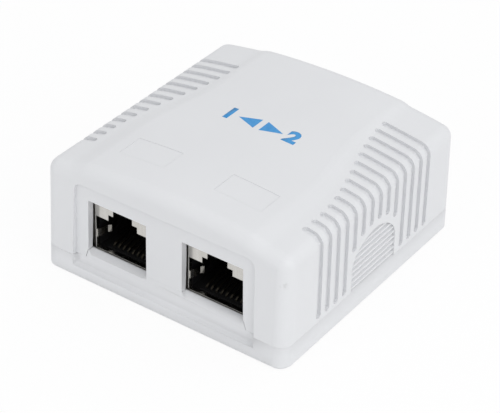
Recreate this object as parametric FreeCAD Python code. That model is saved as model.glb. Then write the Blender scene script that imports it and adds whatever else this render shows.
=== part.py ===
import FreeCAD, Part
import math
import os

# Surface mount jack box with two shielded eight-way sockets.
# Millimetres. X runs across the sockets, Y from front to back, Z up.
# The origin is the centre of the underside, and the sockets face -Y.

V = FreeCAD.Vector

# ---- moulded box -----------------------------------------------------------
BODY_WIDTH = 51.0            # side to side, at the underside
BODY_DEPTH = 53.8            # front to back, at the underside
FIELD_HEIGHT = 24.2          # overall height, at the crown of the raised field
SIDE_DRAFT = 0.7             # degrees, left and right walls
END_DRAFT = 1.6              # degrees, front and back walls
CORNER_RADIUS = 2.4          # upright corners and the whole top edge
INNER_CORNER = 0.6           # least radius of an inside corner
WALL = 2.0
FLOOR = 1.8
FOOT_CHAMFER = 0.4           # round the underside
FIT = 0.05                   # snug fit between pieces that are pushed together

# ---- lap joint and snap bumps ----------------------------------------------
LAP_GAP = 0.2
RIM_THICKNESS = 1.0
RIM_HEIGHT = 1.6             # above the seam
BUMP_LENGTH = 6.0
BUMP_RADIUS = 0.5
BUMP_PROUD = 0.15
BUMP_Y = 15.5
SNAP_GROOVE_DEPTH = 0.25
ENTRY_GAP = 0.8              # rim stops this far from a knockout arch

# ---- circuit board ---------------------------------------------------------
BOARD_THICKNESS = 1.6
BOARD_LIFT = 1.4             # board over the floor
BOARD_GAP = 0.4
BOARD_EDGE = 0.3             # board beyond its screw heads
BOARD_BACK_EDGE = 0.8        # board beyond its terminals
BOARD_CORNER = 1.0
TAIL_HOLE = 0.8              # square hole for a solder tail
TAIL_DROP = 0.7              # solder tails below the board
REST_WIDTH = 5.0             # ledge under the front edge of the board
REST_REACH = 1.5

# ---- shielded jacks --------------------------------------------------------
JACK_PITCH = 19.9
SHIELD_WIDTH = 15.6
SHIELD_DEPTH = 17.5
SHEET = 0.35
SHIELD_GAP = 0.2             # nose behind the cover's front panel
NOSE_WIDTH = 12.0
NOSE_RIM = 0.2               # nose beside the port
NOSE_PROUD = 0.5
NOSE_LAP = 0.45              # nose hidden below the tongue's top
NOSE_HEAD = 0.6              # and over the slot
SHIELD_HEAD = 1.2            # top of the shield over its nose
PORT_LIFT = 1.5              # port's floor over the board
PORT_HEIGHT = 6.6
LATCH_WIDTH = 6.2
LATCH_STEP = 1.2
LATCH_NARROW_WIDTH = 4.1
LATCH_NARROW_STEP = 1.5
BEND_RADIUS = 0.5
SPRING_LIFT = 2.1            # ground spring over the port's floor
SPRING_HEIGHT = 1.6
SPRING_SHEET = 0.25
SPRING_ROOT = 0.02           # spring's foot inside the port's edge
SPRING_CREST = 0.75          # how far it bulges into the port
SPRING_SHOULDER = 0.3
SPRING_REACH = 4.8           # how far back into the port it runs
LUG_WIDTH = 1.4
LUG_SETBACK = 1.5            # behind the end of the cavity
LUG_SLOT_GAP = 0.15
CAVITY_EASE = 0.1            # housing mouth outside the shield's port
CAVITY_DEPTH = 10.9

# ---- sprung contacts and the insert that carries them ----------------------
CONTACT_COUNT = 8
CONTACT_PITCH = 1.016
CONTACT_WIDTH = 0.35
CONTACT_THICKNESS = 0.3
CONTACT_RUN_LIFT = 0.7       # flat run over the board
CONTACT_SETBACK = 2.1        # hairpin behind the nose
CONTACT_HAIRPIN = 0.45       # hairpin over the port's floor
CONTACT_RISE = 1.35          # from the hairpin up to the free tip
CONTACT_BEND = 0.5
TIP_LAP = 0.8                # free tip inside the comb
TAIL_SETBACK = 2.4           # front row of tails behind the cavity
TAIL_ROW_PITCH = 1.8
INSERT_EDGE = 0.8            # insert round the outer contacts and tails
COMB_THICKNESS = 1.4
COMB_HEIGHT = 3.1
COMB_WEB = 0.4               # comb's closed back
COMB_SLOT = 0.5
COMB_SLOT_FLOOR = 0.7

# ---- insulation-displacement terminals -------------------------------------
TERMINAL_PITCH = 1.9
TERMINAL_END = 0.4
TERMINAL_DEPTH = 9.6
TERMINAL_GAP = 2.0           # behind the shields
TERMINAL_BODY = 2.6          # solid height over the board
TOWER_HEIGHT = 8.0
TOWER_CHAMFER = 0.45
WIRE_SLOT = 0.9
BLADE_WIDTH = 1.3
BLADE_THICKNESS = 0.4
BLADE_SINK = 1.0             # blade's top below the towers
BLADE_SLIT = 0.32
BLADE_SLIT_DEPTH = 3.6
BLADE_ROOT = 0.8             # blade starts this far over the board
BLADE_TAIL = 0.45
BLADE_STAGGER = 1.6          # alternate blades forward and back

# ---- screws ----------------------------------------------------------------
BOSS_HALF = 1.9
PILOT_FLOOR = 0.6
SCREW_RADIUS = 0.95
SCREW_GAP = 0.06
SCREW_HOLE_GAP = 0.15
SCREW_TIP_GAP = 0.3
HEAD_RADIUS = 1.75
HEAD_HEIGHT = 1.2
HEAD_GAP = 0.3               # head clear of the piece beside it
BOARD_SCREW_SETBACK = 10.4   # from the nose

# ---- ground plate and cable clamps -----------------------------------------
PLATE_THICKNESS = 0.6
PLATE_EDGE = 0.3
PLATE_DEPTH = 7.0
STRAP_GAP = 0.65             # strap clear of the shields
EAR_SETBACK = 1.6            # ears in front of the shields' back
EAR_LENGTH = 4.5
EAR_HEIGHT = 4.2
EAR_SHEET = 0.3
CABLE_RADIUS = 3.0
CLAMP_SETBACK = 8.9          # clamps in front of the back wall's foot
CLAMP_LENGTH = 5.0
CLAMP_SHEET = 0.8
CLAMP_EDGE = 0.25            # foot beyond the screw head
CLAMP_CORNER = 0.8
CLAMP_MIDDLE_GAP = 0.85      # inner screw heads from the middle

# ---- wall fixing holes -----------------------------------------------------
FIXING_INSET = 2.8           # from the line of the board screws
FIXING_GAP = 0.4             # behind the board
FIXING_RADIUS = 2.1
FIXING_SINK_RADIUS = 3.6
FIXING_SINK_DEPTH = 1.1

# ---- front: recessed panel, slots and tongue -------------------------------
RECESS_SETBACK = 1.04        # panel behind the foot of the front wall
RECESS_HEAD = 3.0            # panel over the slots
RECESS_SIDE = 2.55           # panel beside the slots
RECESS_FLARE = 0.5           # how much wider it gets down to the seam
RECESS_CORNER = 1.5
LEDGE_LIFT = 0.6             # top of the base's lower lip over the floor
FRONT_PANEL = 1.3            # thickness of the panel and the tongue
SLOT_SIDE = 0.2              # slot beside the nose
SLOT_HEAD = 3.7              # slot over the port
SLOT_FLARE = 0.25            # outer edge leans out towards the tongue
TONGUE_LAP = 0.15            # tongue's top below the port
TONGUE_HEIGHT = 1.6          # above the seam
TONGUE_OVERLAP = 0.3         # tongue beyond the slot's outer edge, at its top
TONGUE_FLARE = 0.5
TONGUE_GAP = 0.08

# ---- crowned top of the cover ----------------------------------------------
STRIP_CROWN_RADIUS = 130.0
FIELD_RISE = 0.25            # field's crown over the strips' crown
FIELD_CROWN_RADIUS = 160.0
SHOULDER_DROP = 0.15         # walls stand straight from this far below the top's rounding
JOIN_TOLERANCE = 0.003       # where the walls' two parts meet
FIELD_SIDE_BACK = 10.1       # from the side to the field, behind
FIELD_SIDE_FRONT = 7.1       # and in front
FIELD_BEND_BACK = 12.0       # the widening starts here, going forward
FIELD_BEND_FRONT = -11.0     # and ends here
FIELD_BANK_BACK = 2.6        # run of the bank for each unit of its rise, behind
FIELD_BANK_FRONT = 3.4       # and in front
FIELD_ROOT = 0.64            # the bank reaches this far below the strips at the field's front edge
FIELD_BLEND = 5.0            # rounding along the bank's top and foot

# ---- wrap-around grooves ---------------------------------------------------
GROOVE_COUNT = 14
GROOVE_PITCH = 2.6
GROOVE_WIDTH = 1.3
GROOVE_DEPTH = 0.6
GROOVE_BEND = 1.05           # flat that takes the groove's floor round the top edge
GROOVE_END_CHAMFER = 0.38
GROOVE_FOOT = 0.8            # lower end of the long grooves over the seam
GROOVE_REACH = 6.95          # inner end from the side, halfway along
GROOVE_SWING = 3.0           # how far the inner ends move in and out
GROOVE_SWING_CENTRE = 2.4
GROOVE_SWING_HALF = 15.5
ARCH_MARGIN = 1.35           # land between a short groove and the arch

# ---- ribbed knockout arch in each side and in the back ---------------------
ARCH_HALF = 6.9
ARCH_FOOT = 4.25             # upright part over the seam
ARCH_RISE = 5.3
ARCH_SHOULDER = 4.2          # radius of the arch's shoulders
ARCH_DEPTH = 0.9
RIB_PITCH = 1.13
RIB_FOOT = 1.0               # width of a rib where it meets the arch's floor
RIB_CREST = 0.35             # width of its crest
RIB_PROUD = 0.75             # height of a rib over the arch's floor

# ---- shallow windows on the top, one behind each socket --------------------
WINDOW_WIDTH = 9.4
WINDOW_DEPTH = 5.6
WINDOW_SETBACK = 10.6        # centre behind the foot of the front wall
WINDOW_SINK = 0.15

# ---- heights worked out from the ones above --------------------------------
BOARD_UNDERSIDE = FLOOR + BOARD_LIFT
BOARD_TOP = BOARD_UNDERSIDE + BOARD_THICKNESS
TAIL_END = BOARD_UNDERSIDE - TAIL_DROP
PORT_BOTTOM = BOARD_TOP + PORT_LIFT
PORT_TOP = PORT_BOTTOM + PORT_HEIGHT
LATCH_TOP = PORT_TOP + LATCH_STEP
LATCH_NARROW_TOP = LATCH_TOP + LATCH_NARROW_STEP
TONGUE_TOP = PORT_BOTTOM - TONGUE_LAP
SEAM_HEIGHT = TONGUE_TOP - TONGUE_HEIGHT
RIM_TOP = SEAM_HEIGHT + RIM_HEIGHT
LEDGE_HEIGHT = FLOOR + LEDGE_LIFT
SLOT_TOP = PORT_TOP + SLOT_HEAD
RECESS_TOP = SLOT_TOP + RECESS_HEAD
NOSE_BOTTOM = TONGUE_TOP - NOSE_LAP
NOSE_TOP = SLOT_TOP + NOSE_HEAD
SHIELD_TOP = NOSE_TOP + SHIELD_HEAD
PLATE_TOP = BOARD_TOP + PLATE_THICKNESS
TOWER_TOP = BOARD_TOP + TOWER_HEIGHT
BLADE_TOP = TOWER_TOP - BLADE_SINK
STRIP_HEIGHT = FIELD_HEIGHT - FIELD_RISE
ARCH_SPRING = SEAM_HEIGHT + ARCH_FOOT
ARCH_TOP = ARCH_SPRING + ARCH_RISE
ABOVE = FIELD_HEIGHT + WALL  # safely over the whole box

# ---- widths worked out -----------------------------------------------------
SIDE_LEAN = math.tan(math.radians(SIDE_DRAFT))
END_LEAN = math.tan(math.radians(END_DRAFT))
HALF_W = BODY_WIDTH / 2
RIM_INSET = WALL + LAP_GAP
TRAY_INSET = RIM_INSET + RIM_THICKNESS
TRAY_HALF = HALF_W - TRAY_INSET - SEAM_HEIGHT * SIDE_LEAN
BOARD_HALF = TRAY_HALF - BOARD_GAP
BOARD_SCREW_X = BOARD_HALF - BOARD_EDGE - HEAD_RADIUS
PORT_WIDTH = NOSE_WIDTH - 2 * NOSE_RIM
SLOT_HALF = NOSE_WIDTH / 2 + SLOT_SIDE
SLOT_OUTER = JACK_PITCH / 2 + SLOT_HALF
RECESS_HALF_TOP = SLOT_OUTER + RECESS_SIDE
TONGUE_HALF_TOP = SLOT_OUTER + TONGUE_OVERLAP
INSERT_HALF = (CONTACT_COUNT - 1) / 2 * CONTACT_PITCH + INSERT_EDGE
TERMINAL_HALF = CONTACT_COUNT / 2 * TERMINAL_PITCH + TERMINAL_END
CLAMP_SCREW_OFFSET = CABLE_RADIUS + CLAMP_SHEET + HEAD_GAP + HEAD_RADIUS
CLAMP_FOOT = CLAMP_SCREW_OFFSET + HEAD_RADIUS + CLAMP_EDGE
CLAMP_X = CLAMP_SCREW_OFFSET + HEAD_RADIUS + CLAMP_MIDDLE_GAP
PLATE_HALF = CLAMP_X + CLAMP_FOOT + PLATE_EDGE
EAR_X = JACK_PITCH / 2 - SHIELD_WIDTH / 2
FIXING_X = BOARD_SCREW_X - FIXING_INSET

# ---- depths worked out -----------------------------------------------------
HALF_D = BODY_DEPTH / 2
OUTSIDE = HALF_D + CORNER_RADIUS  # safely outside the whole box
RECESS_Y = -HALF_D + RECESS_SETBACK
PANEL_INNER_Y = RECESS_Y + FRONT_PANEL
NOSE_Y = PANEL_INNER_Y + SHIELD_GAP
SHIELD_Y = NOSE_Y + NOSE_PROUD
SHIELD_BACK_Y = SHIELD_Y + SHIELD_DEPTH
CAVITY_BACK_Y = SHIELD_Y + CAVITY_DEPTH
COMB_BACK = CAVITY_BACK_Y - FIT
COMB_FRONT = COMB_BACK - COMB_THICKNESS
HAIRPIN_Y = NOSE_Y + CONTACT_SETBACK
TAIL_ROW_FRONT = CAVITY_BACK_Y + TAIL_SETBACK
TAIL_ROW_BACK = TAIL_ROW_FRONT + TAIL_ROW_PITCH
INSERT_FRONT = HAIRPIN_Y - INSERT_EDGE
INSERT_BACK = TAIL_ROW_BACK + INSERT_EDGE
LUG_Y = CAVITY_BACK_Y + LUG_SETBACK
TERMINAL_FRONT = SHIELD_BACK_Y + TERMINAL_GAP
TERMINAL_BACK = TERMINAL_FRONT + TERMINAL_DEPTH
BOARD_FRONT = PANEL_INNER_Y + BOARD_GAP
BOARD_BACK = TERMINAL_BACK + BOARD_BACK_EDGE
BOARD_SCREW_Y = NOSE_Y + BOARD_SCREW_SETBACK
EAR_BACK = SHIELD_BACK_Y - EAR_SETBACK
EAR_FRONT = EAR_BACK - EAR_LENGTH
CLAMP_Y = HALF_D - CLAMP_SETBACK
FIXING_Y = BOARD_BACK + FIXING_GAP + FIXING_SINK_RADIUS
WINDOW_Y = -HALF_D + WINDOW_SETBACK
SIDES = (("left", -1), ("right", 1))


# ---- small helpers ---------------------------------------------------------
def box(x0, x1, y0, y1, z0, z1):
    return Part.makeBox(x1 - x0, y1 - y0, z1 - z0, V(x0, y0, z0))


def face_of(points):
    return Part.Face(Part.makePolygon(points + [points[0]]))


def face_xz(points, y):
    return face_of([V(x, y, z) for x, z in points])


def edges_along(shape, direction, test):
    """Straight edges that run along a direction and pass the test at their middle."""
    found = []
    for edge in shape.Edges:
        if len(edge.Vertexes) != 2:
            continue
        run = edge.Vertexes[1].Point - edge.Vertexes[0].Point
        if run.Length > 0 and abs(abs(run.dot(direction)) / run.Length - 1) < 1e-6:
            if test(edge.CenterOfMass):
                found.append(edge)
    return found


def fuse_all(shapes):
    return shapes[0].multiFuse(shapes[1:]).removeSplitter()


def both_sides(shape):
    return [shape, shape.mirror(V(0, 0, 0), V(1, 0, 0))]


def half_width(z):
    return HALF_W - z * SIDE_LEAN


def half_depth(z):
    return HALF_D - z * END_LEAN


def tapered_block(z0, z1, low_x, high_x, low_y, high_y):
    """A block between two heights, from its half widths and depths at each."""
    block = Part.makeWedge(-low_x, z0, -low_y, -high_y, -high_x, low_x, z1, low_y, high_y, high_x)
    block.rotate(V(0, 0, 0), V(1, 0, 0), 90)
    return block


def uprights(block):
    """The edges that stand at the block's corners."""
    found = []
    for edge in block.Edges:
        bounds = edge.BoundBox
        if bounds.ZLength > bounds.XLength + bounds.YLength:
            found.append(edge)
    return found


def drafted_block(inset, z0, z1):
    """The box's outline moved inwards by the inset, with its draft, between two heights."""
    low_x, high_x = (half_width(z) - inset for z in (z0, z1))
    low_y, high_y = (half_depth(z) - inset for z in (z0, z1))
    block = tapered_block(z0, z1, low_x, high_x, low_y, high_y)
    return block.makeFillet(max(CORNER_RADIUS - inset, INNER_CORNER), uprights(block))


def crown(height, radius):
    """Everything under a cylindrical roof that runs front to back."""
    half = HALF_W + WALL
    edge = crown_level(height, radius, half)
    left = V(-half, -OUTSIDE, edge)
    right = V(half, -OUTSIDE, edge)
    arc = Part.Arc(left, V(0, -OUTSIDE, height), right).toShape()
    low_right = V(half, -OUTSIDE, -WALL)
    low_left = V(-half, -OUTSIDE, -WALL)
    outline = Part.Wire([arc, Part.makeLine(right, low_right),
                         Part.makeLine(low_right, low_left), Part.makeLine(low_left, left)])
    return Part.Face(outline).extrude(V(0, 2 * OUTSIDE, 0))


def crown_level(height, radius, x):
    """Height of a cylindrical roof over a point at x."""
    return height - radius + math.sqrt(radius ** 2 - x ** 2)


def faces_up(shape):
    """The faces that look upwards."""
    found = []
    for face in shape.Faces:
        u0, u1, v0, v1 = face.ParameterRange
        if face.normalAt((u0 + u1) / 2, (v0 + v1) / 2).z > 0.7:
            found.append(face)
    return found


def edges_used(faces, times):
    """Edges that belong to just so many of the faces."""
    counts = {}
    for face in faces:
        for edge in face.Edges:
            counts.setdefault(edge.hashCode(), []).append(edge)
    return [edges[0] for edges in counts.values() if len(edges) == times]


def crowned_blank(inset, z0, height, radius):
    """A solid blank under one crown: drafted walls and a sharp top edge."""
    return drafted_block(inset, z0, ABOVE).common(crown(height, radius))


def bent_strip(points, thickness, width, low_x):
    """A sheet strip of constant thickness along (y, z) points, extruded along X."""
    sides = ([], [])
    for i, (y, z) in enumerate(points):
        before = points[max(i - 1, 0)]
        after = points[min(i + 1, len(points) - 1)]
        normals = []
        for start, end in ((before, (y, z)), ((y, z), after)):
            length = math.hypot(end[0] - start[0], end[1] - start[1])
            if length > 0:
                normals.append((-(end[1] - start[1]) / length, (end[0] - start[0]) / length))
        ny = sum(n[0] for n in normals)
        nz = sum(n[1] for n in normals)
        scale = thickness / (ny * ny + nz * nz) * len(normals) / 2
        for side, sign in zip(sides, (1, -1)):
            side.append(V(low_x, y + sign * ny * scale, z + sign * nz * scale))
    outline = sides[0] + sides[1][::-1]
    return face_of(outline).extrude(V(width, 0, 0))


# ---- outlines shared by the cover and the base -----------------------------
def recess_cutter(z0):
    """The recessed front panel, from a height up to its rounded top."""
    slope = RECESS_FLARE / (RECESS_TOP - SEAM_HEIGHT)
    low_half = RECESS_HALF_TOP + (RECESS_TOP - z0) * slope
    outline = face_xz([(-low_half, z0), (low_half, z0),
                       (RECESS_HALF_TOP, RECESS_TOP), (-RECESS_HALF_TOP, RECESS_TOP)],
                      -OUTSIDE)
    cutter = outline.extrude(V(0, RECESS_Y + OUTSIDE, 0))
    tops = edges_along(cutter, V(0, 1, 0), lambda c: c.z > (z0 + RECESS_TOP) / 2)
    return cutter.makeFillet(RECESS_CORNER, tops)


def tongue_prism(gap, y0, y1):
    """The tongue's outline, grown by a gap, between two depths."""
    slope = TONGUE_FLARE / TONGUE_HEIGHT
    low_half = TONGUE_HALF_TOP + 2 * TONGUE_HEIGHT * slope + gap
    top_half = TONGUE_HALF_TOP + gap
    low = SEAM_HEIGHT - TONGUE_HEIGHT
    outline = face_xz([(-low_half, low), (low_half, low),
                       (top_half, TONGUE_TOP + gap), (-top_half, TONGUE_TOP + gap)], y0)
    return outline.extrude(V(0, y1 - y0, 0))


def slot_cutter():
    """The right-hand slot in the cover's front panel, open at the bottom."""
    inner = JACK_PITCH / 2 - SLOT_HALF
    low = SEAM_HEIGHT - TONGUE_HEIGHT
    outline = face_xz([(inner, low), (SLOT_OUTER + SLOT_FLARE, low),
                       (SLOT_OUTER + SLOT_FLARE, TONGUE_TOP), (SLOT_OUTER, SLOT_TOP), (inner, SLOT_TOP)],
                      -OUTSIDE)
    return outline.extrude(V(0, OUTSIDE + SHIELD_Y, 0))


def arch_face():
    """The knockout's outline in the YZ plane: an arch that stands on the seam.

    Two shoulder arcs and a flatter top arc, tangent to each other and to the uprights.
    """
    span = ARCH_HALF - ARCH_SHOULDER
    top_radius = (span ** 2 + ARCH_RISE ** 2 - ARCH_SHOULDER ** 2) / (2 * (ARCH_RISE - ARCH_SHOULDER))
    turn = math.atan2(top_radius - ARCH_RISE, span)
    low = SEAM_HEIGHT - ARCH_FOOT

    def shoulder(sign, angle):
        return V(0, sign * (span + ARCH_SHOULDER * math.cos(angle)),
                 ARCH_SPRING + ARCH_SHOULDER * math.sin(angle))

    points = [V(0, -ARCH_HALF, low), V(0, -ARCH_HALF, ARCH_SPRING)]
    edges = [Part.makeLine(*points)]
    edges.append(Part.Arc(shoulder(-1, 0), shoulder(-1, turn / 2), shoulder(-1, turn)).toShape())
    edges.append(Part.Arc(shoulder(-1, turn), V(0, 0, ARCH_TOP), shoulder(1, turn)).toShape())
    edges.append(Part.Arc(shoulder(1, turn), shoulder(1, turn / 2), shoulder(1, 0)).toShape())
    edges.append(Part.makeLine(shoulder(1, 0), V(0, ARCH_HALF, low)))
    edges.append(Part.makeLine(V(0, ARCH_HALF, low), points[0]))
    return Part.Face(Part.Wire(edges))


def arch_relief(offset_at):
    """What a knockout removes from a wall that faces +X: the arch less its ribs."""
    low = SEAM_HEIGHT - ARCH_FOOT
    profile = [V(offset_at(low) - ARCH_DEPTH, -OUTSIDE, low)]
    z = SEAM_HEIGHT + RIB_PITCH / 2
    while z < ARCH_TOP:
        for rise, proud in ((-RIB_FOOT / 2, 0), (-RIB_CREST / 2, RIB_PROUD),
                            (RIB_CREST / 2, RIB_PROUD), (RIB_FOOT / 2, 0)):
            profile.append(V(offset_at(z + rise) - ARCH_DEPTH + proud, -OUTSIDE, z + rise))
        z += RIB_PITCH
    profile.append(V(offset_at(ABOVE) - ARCH_DEPTH, -OUTSIDE, ABOVE))
    profile += [V(OUTSIDE, -OUTSIDE, ABOVE), V(OUTSIDE, -OUTSIDE, low)]
    ribbed = face_of(profile).extrude(V(0, 2 * OUTSIDE, 0))
    return arch_face().extrude(V(OUTSIDE, 0, 0)).common(ribbed)


# ---- cover -----------------------------------------------------------------
def field_half(side, bank, z):
    """Half width of the field at a height: its bank falls away outwards."""
    half = HALF_W - side
    level = (crown_level(FIELD_HEIGHT, FIELD_CROWN_RADIUS, half)
             + crown_level(STRIP_HEIGHT, STRIP_CROWN_RADIUS, half)) / 2
    return half + (level - z) * bank


def field_outline(z):
    """The raised field's outline at a height: narrow behind, wider in front."""
    back = field_half(FIELD_SIDE_BACK, FIELD_BANK_BACK, z)
    front = field_half(FIELD_SIDE_FRONT, FIELD_BANK_FRONT, z)
    run = FIELD_BEND_BACK - FIELD_BEND_FRONT
    shift = front - back
    radius = (run ** 2 + shift ** 2) / (4 * abs(shift))
    sag = math.copysign(radius - math.sqrt(radius ** 2 - (run / 4) ** 2), shift)
    ends = [(back, OUTSIDE), (back, FIELD_BEND_BACK),
            ((back + front) / 2, (FIELD_BEND_BACK + FIELD_BEND_FRONT) / 2),
            (front, FIELD_BEND_FRONT), (front, -OUTSIDE)]
    bends = [(back + sag, FIELD_BEND_BACK - run / 4), (front - sag, FIELD_BEND_FRONT + run / 4)]
    sides = []
    for sign in (1, -1):
        p = [V(sign * x, y, z) for x, y in ends]
        q = [V(sign * x, y, z) for x, y in bends]
        sides.append([Part.makeLine(p[0], p[1]), Part.Arc(p[1], q[0], p[2]).toShape(),
                      Part.Arc(p[2], q[1], p[3]).toShape(), Part.makeLine(p[3], p[4])])
    across = [Part.makeLine(V(-half, y, z), V(half, y, z))
              for half, y in ((back, OUTSIDE), (front, -OUTSIDE))]
    return Part.Wire(sides[0] + [across[1]] + sides[1][::-1] + [across[0]])


def cover_blank():
    """The cover's outer form: drafted walls, then low crowned strips and the raised field."""
    shoulder = crown_level(STRIP_HEIGHT, STRIP_CROWN_RADIUS, HALF_W) - CORNER_RADIUS - SHOULDER_DROP
    depth = half_depth(shoulder)
    block = tapered_block(shoulder, ABOVE, half_width(shoulder), half_width(ABOVE), depth, depth)
    strips = block.common(crown(STRIP_HEIGHT, STRIP_CROWN_RADIUS))
    field = block.common(crown(FIELD_HEIGHT, FIELD_CROWN_RADIUS))
    root = crown_level(STRIP_HEIGHT, STRIP_CROWN_RADIUS, HALF_W - FIELD_SIDE_FRONT) - FIELD_ROOT
    bank = Part.makeLoft([field_outline(root), field_outline(ABOVE)], True, True)
    top = fuse_all([strips, field.common(bank)])
    top = top.makeFillet(FIELD_BLEND, edges_used(faces_up(top), 2))
    top = top.makeFillet(CORNER_RADIUS, edges_used(faces_up(top), 1) + uprights(top))
    walls = drafted_block(0, SEAM_HEIGHT, shoulder)
    return walls.fuse(top, JOIN_TOLERANCE).removeSplitter()


def groove_position(index):
    return (index - (GROOVE_COUNT - 1) / 2) * GROOVE_PITCH


def groove_start(y):
    """Inner end on the top: nearer the middle at the back than at the front."""
    phase = max(-1, min(1, (y - GROOVE_SWING_CENTRE) / GROOVE_SWING_HALF))
    return HALF_W - GROOVE_REACH - GROOVE_SWING * math.sin(phase * math.pi / 2)


def groove_foot(y):
    """Lower end on the side: short over the knockout arch."""
    reach = max(abs(y) - GROOVE_WIDTH / 2, 0)
    if reach > ARCH_HALF + ARCH_MARGIN / 2:
        return SEAM_HEIGHT + GROOVE_FOOT
    over = ARCH_RISE * math.sqrt(max(0, 1 - (reach / ARCH_HALF) ** 2))
    return ARCH_SPRING + max(over, ARCH_RISE / 2) + ARCH_MARGIN


def groove_cutter():
    """All grooves of the right side, as deep as the skin that they leave."""
    half = GROOVE_WIDTH / 2
    slabs = []
    for index in range(GROOVE_COUNT):
        y = groove_position(index)
        slab = box(groove_start(y), HALF_W + WALL, y - half, y + half, groove_foot(y), ABOVE)
        ends = edges_along(slab, V(0, 0, 1), lambda c: c.x < HALF_W)
        feet = edges_along(slab, V(1, 0, 0), lambda c: c.z < STRIP_HEIGHT)
        slabs.append(slab.makeChamfer(GROOVE_END_CHAMFER, ends + feet))
    skin = crowned_blank(GROOVE_DEPTH, FLOOR, STRIP_HEIGHT - GROOVE_DEPTH,
                         STRIP_CROWN_RADIUS - GROOVE_DEPTH)
    tops = edges_along(skin, V(0, 1, 0), lambda c: c.z > ARCH_TOP)
    return Part.Compound(slabs).cut(skin.makeChamfer(GROOVE_BEND, tops))


def cover_cavity():
    """The hollow inside the cover, with the deeper pocket behind the front panel."""
    low = SEAM_HEIGHT - RIM_HEIGHT
    hollow = crowned_blank(WALL, low, STRIP_HEIGHT - WALL, STRIP_CROWN_RADIUS - WALL)
    pocket = box(-TRAY_HALF, TRAY_HALF, PANEL_INNER_Y, 0, low, RECESS_TOP)
    return hollow.fuse(pocket)


def snap_bars(x, radius):
    """Round bars along the lap joint, left and right, for the bumps and their grooves."""
    z = SEAM_HEIGHT + RIM_HEIGHT / 2
    bars = []
    for y in (-BUMP_Y, BUMP_Y):
        bars += both_sides(Part.makeCylinder(radius, BUMP_LENGTH, V(x, y - BUMP_LENGTH / 2, z), V(0, 1, 0)))
    return bars


def top_windows():
    """The two shallow windows pressed into the raised field."""
    sunk = crown(FIELD_HEIGHT - WINDOW_SINK, FIELD_CROWN_RADIUS - WINDOW_SINK)
    centre = JACK_PITCH / 2
    block = box(centre - WINDOW_WIDTH / 2, centre + WINDOW_WIDTH / 2,
                WINDOW_Y - WINDOW_DEPTH / 2, WINDOW_Y + WINDOW_DEPTH / 2, RECESS_TOP, ABOVE)
    return both_sides(block.cut(sunk))


def make_cover():
    cuts = [cover_cavity(), recess_cutter(SEAM_HEIGHT - RIM_HEIGHT),
            tongue_prism(TONGUE_GAP, -OUTSIDE, SHIELD_Y)]
    cuts += both_sides(slot_cutter())
    cuts += both_sides(groove_cutter())
    cuts += both_sides(arch_relief(half_width))
    back_arch = arch_relief(half_depth)
    back_arch.rotate(V(0, 0, 0), V(0, 0, 1), 90)
    cuts.append(back_arch)
    cuts += top_windows()
    groove_x = half_width(SEAM_HEIGHT) - WALL - BUMP_RADIUS + SNAP_GROOVE_DEPTH
    cuts += snap_bars(groove_x, BUMP_RADIUS)
    return cover_blank().cut(cuts)


# ---- base ------------------------------------------------------------------
def lap_rim():
    """The upright rim inside the cover's wall, open at the front and at the knockouts."""
    rim = drafted_block(RIM_INSET, FLOOR, RIM_TOP).cut(drafted_block(TRAY_INSET, FLOOR, RIM_TOP))
    entry = ARCH_HALF + ENTRY_GAP
    gaps = [box(-TRAY_HALF, TRAY_HALF, -OUTSIDE, BOARD_FRONT + WALL, FLOOR, ABOVE),
            box(-OUTSIDE, OUTSIDE, -entry, entry, SEAM_HEIGHT, ABOVE),
            box(-entry, entry, 0, OUTSIDE, SEAM_HEIGHT, ABOVE)]
    return rim.cut(gaps)


def clamp_screw_xs():
    return [sign * CLAMP_X + end * CLAMP_SCREW_OFFSET for _, sign in SIDES for end in (-1, 1)]


def boss_places():
    """Board bosses and clamp bosses, as (x, y, top)."""
    places = [(sign * BOARD_SCREW_X, BOARD_SCREW_Y, BOARD_UNDERSIDE) for _, sign in SIDES]
    return places + [(x, CLAMP_Y, BOARD_TOP) for x in clamp_screw_xs()]


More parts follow.
